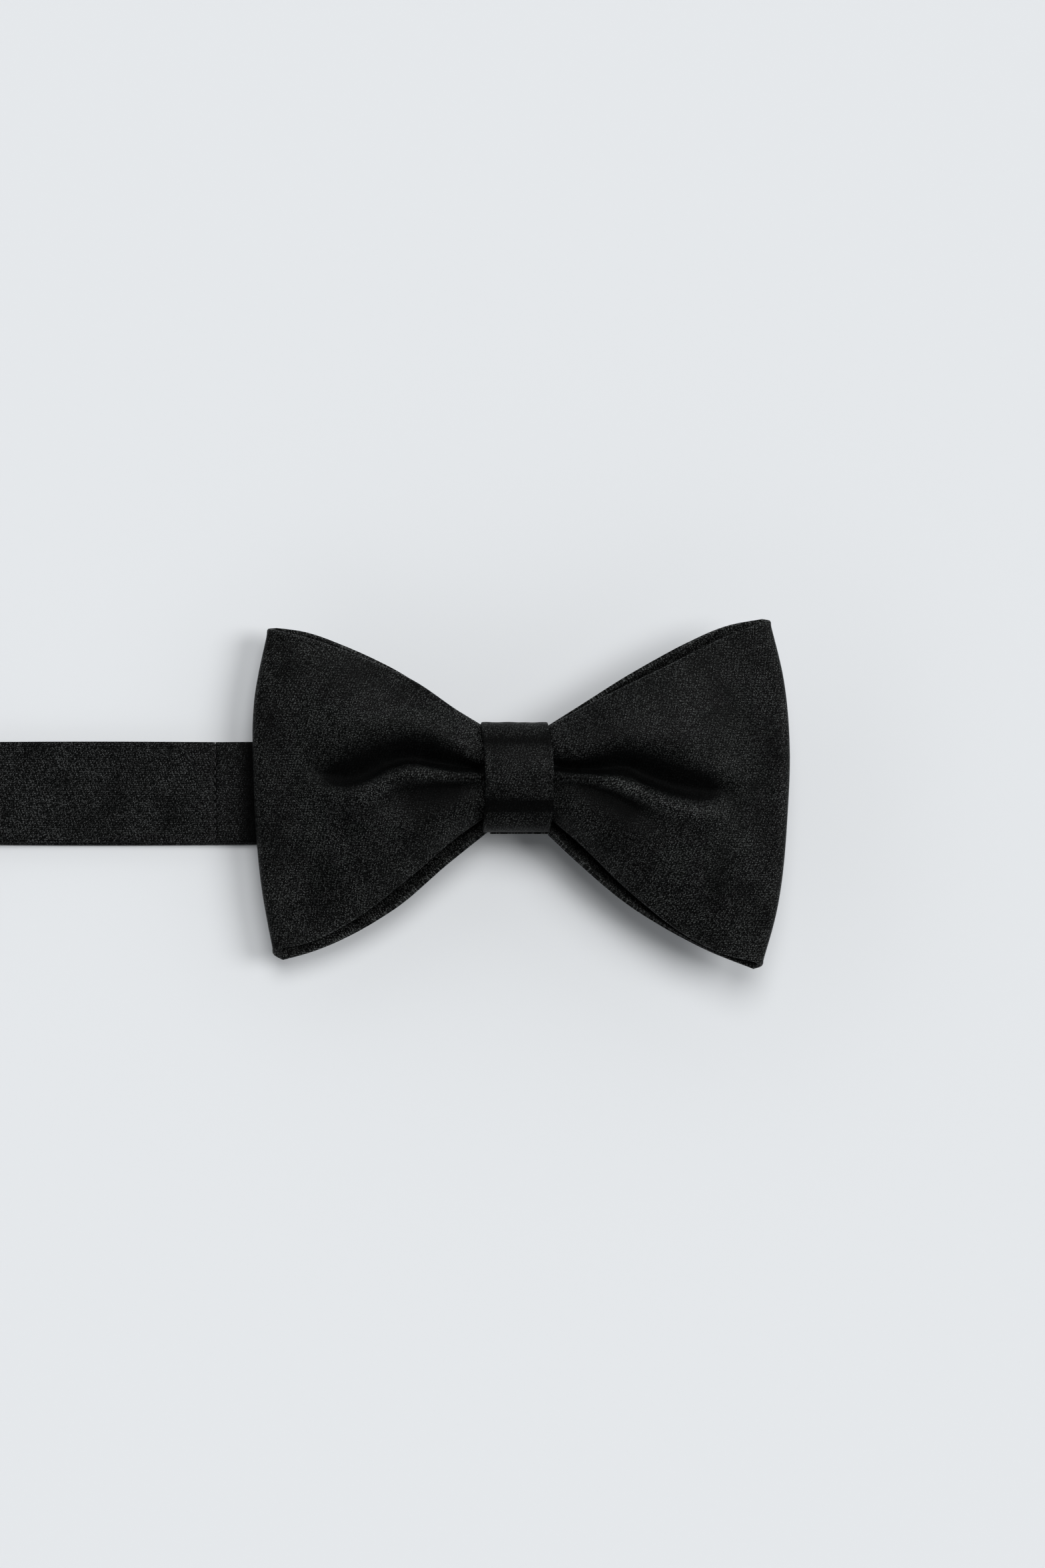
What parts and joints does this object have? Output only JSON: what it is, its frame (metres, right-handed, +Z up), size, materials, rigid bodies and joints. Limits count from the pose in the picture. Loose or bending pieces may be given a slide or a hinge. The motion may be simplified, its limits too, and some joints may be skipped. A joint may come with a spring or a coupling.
{
  "type": "bow tie",
  "caption": "Ready-tied butterfly bow tie in black satin: folded bow, wrapped knot and adjustable neckband with slider, hook and eye.",
  "frame": {"origin": "on the surface that the bow tie lies on, under the middle of the knot", "axes": "+X to the right along the neckband, with the bow face up; +Y towards the top of the bow; +Z up from the surface"},
  "size_m": [0.2563, 0.076, 0.0184],
  "materials": {
    "satin": "woven satin, fine twill lines, soft sheen",
    "lining": "plain dark lining satin",
    "interlining": "felted interlining, matt",
    "thread": "black sewing thread",
    "metal": "blackened nickel plate, polished"
  },
  "bodies": {
    "bow_and_band": {"bow_outer_satin": "satin", "bow_inner_satin": "lining", "bow_interlining": "interlining", "bow_end_stitches": "thread", "pleat_binding_thread": "thread", "knot_wrap": "satin", "knot_interlining": "interlining", "knot_closing_stitches": "thread", "centre_band": "satin", "centre_band_interlining": "interlining", "left_join_stitches": "thread", "right_join_stitches": "thread", "long_band": "satin", "long_band_interlining": "interlining", "short_band": "satin", "short_band_interlining": "interlining", "eye_loop_tack": "thread"},
    "adjuster": {"slider": "metal", "band_end_tack": "thread"},
    "hook_loop": {"long_band_return": "satin"},
    "hook": {"hook": "metal"},
    "eye": {"eye": "metal"}
  },
  "joints": [
    {"name": "slider_slide", "type": "slide", "parent": "bow_and_band", "child": "adjuster", "axis": [1, 0, 0], "range_m": [-0.008, 0.03], "deforming": ["long_band"]},
    {"name": "hook_loop_slide", "type": "slide", "parent": "adjuster", "child": "hook_loop", "axis": [1, 0, 0], "range_m": [-0.015, 0.004], "deforming": ["long_band_return"]},
    {"name": "hook_swing", "type": "hinge", "parent": "hook_loop", "child": "hook", "pos_m": [-0.1606, -0.0028, 0.00295], "axis": [0, 1, 0], "range_deg": [0, 100]},
    {"name": "eye_swing", "type": "hinge", "parent": "bow_and_band", "child": "eye", "pos_m": [-0.188, -0.0028, 0.00185], "axis": [0, 1, 0], "range_deg": [0, 150]}
  ],
  "couplings": [
    {"joint": "hook_loop_slide", "follows": "slider_slide", "ratio": -0.5}
  ]
}
